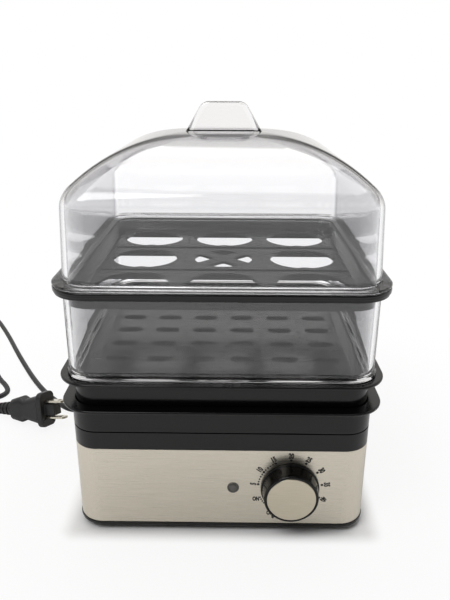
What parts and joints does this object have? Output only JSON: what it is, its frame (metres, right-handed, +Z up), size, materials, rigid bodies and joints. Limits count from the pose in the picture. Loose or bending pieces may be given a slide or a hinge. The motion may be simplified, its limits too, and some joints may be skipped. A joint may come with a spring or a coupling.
{
  "type": "egg boiler and food steamer",
  "caption": "Square electric egg boiler and steamer: steel base with timer knob and lamp, stacked trays, clear tier ring and domed clear lid, with a plugged cord.",
  "frame": {"origin": "on the floor under the middle of the overall width and depth, knob included and cord left out", "axes": "+Z up; the front with the timer knob faces -Y; +X is to the right seen from the front"},
  "size_m": [0.3815, 0.3457, 0.2457],
  "materials": {
    "black_satin_plastic": "satin",
    "black_gloss_plastic": "gloss",
    "clear_plastic": "clear gloss",
    "brushed_stainless": "brushed",
    "zinc_plated_steel": "plated",
    "polished_heater_plate": "polished",
    "silicone_seal": "matte",
    "element_sheath": "dull",
    "black_phenolic": "matte",
    "fuse_case": "satin",
    "white_nylon": "satin",
    "bell_steel": "bright",
    "tinned_brass": "bright",
    "satin_aluminium": "satin",
    "lamp_lens": "clear gloss",
    "neon_glass": "gloss",
    "black_vinyl": "satin",
    "wire_insulation": "satin",
    "black_rubber": "matte"
  },
  "bodies": {
    "base": {"base_pan": "black_satin_plastic", "rubber_feet": "black_rubber", "base_screws": "zinc_plated_steel", "steel_band": "brushed_stainless", "upper_housing": "black_satin_plastic", "heater_plate": "polished_heater_plate", "plate_seal": "silicone_seal", "heater_clamp": "zinc_plated_steel", "heater_nuts": "zinc_plated_steel", "heating_element": "element_sheath", "thermostat": "black_phenolic", "thermostat_strap": "zinc_plated_steel", "strap_screws": "zinc_plated_steel", "thermal_fuse": "fuse_case", "timer_plate": "zinc_plated_steel", "timer_case": "white_nylon", "timer_bell": "bell_steel", "timer_tabs": "tinned_brass", "timer_screws": "zinc_plated_steel", "lamp_lens": "lamp_lens", "lamp_holder": "black_satin_plastic", "neon_lamp": "neon_glass", "cord_bush": "black_vinyl", "inner_lead": "black_vinyl", "terminal_block": "white_nylon", "clamp_bridge": "white_nylon", "clamp_screws": "zinc_plated_steel", "inner_wires": "wire_insulation", "power_cord": "black_vinyl", "cord_coil": "black_vinyl", "cord_tail": "black_vinyl", "cord_tie": "black_vinyl", "plug_body": "black_vinyl", "plug_relief": "black_vinyl", "plug_blades": "tinned_brass"},
    "knob": {"knob": "black_gloss_plastic", "knob_face": "satin_aluminium", "timer_shaft": "zinc_plated_steel"},
    "lower_bowl": {"lower_bowl": "black_satin_plastic"},
    "steam_tray": {"steam_tray": "black_satin_plastic"},
    "tier_ring": {"tier_ring": "clear_plastic"},
    "egg_tray": {"egg_tray": "black_satin_plastic"},
    "lid": {"lid": "clear_plastic"}
  },
  "joints": [
    {"name": "knob_turn", "type": "hinge", "parent": "base", "child": "knob", "pos_m": [0.0409, -0.08438, 0.0312], "axis": [0, 1, 0], "range_deg": [0, 259]},
    {"name": "bowl_lift", "type": "slide", "parent": "base", "child": "lower_bowl", "axis": [0, 0, 1], "range_m": [0, 0.05]},
    {"name": "steam_tray_lift", "type": "slide", "parent": "lower_bowl", "child": "steam_tray", "axis": [0, 0, 1], "range_m": [0, 0.06]},
    {"name": "tier_ring_lift", "type": "slide", "parent": "steam_tray", "child": "tier_ring", "axis": [0, 0, 1], "range_m": [0, 0.07]},
    {"name": "egg_tray_lift", "type": "slide", "parent": "tier_ring", "child": "egg_tray", "axis": [0, 0, 1], "range_m": [0, 0.06]},
    {"name": "lid_lift", "type": "slide", "parent": "egg_tray", "child": "lid", "axis": [0, 0, 1], "range_m": [0, 0.1]}
  ]
}
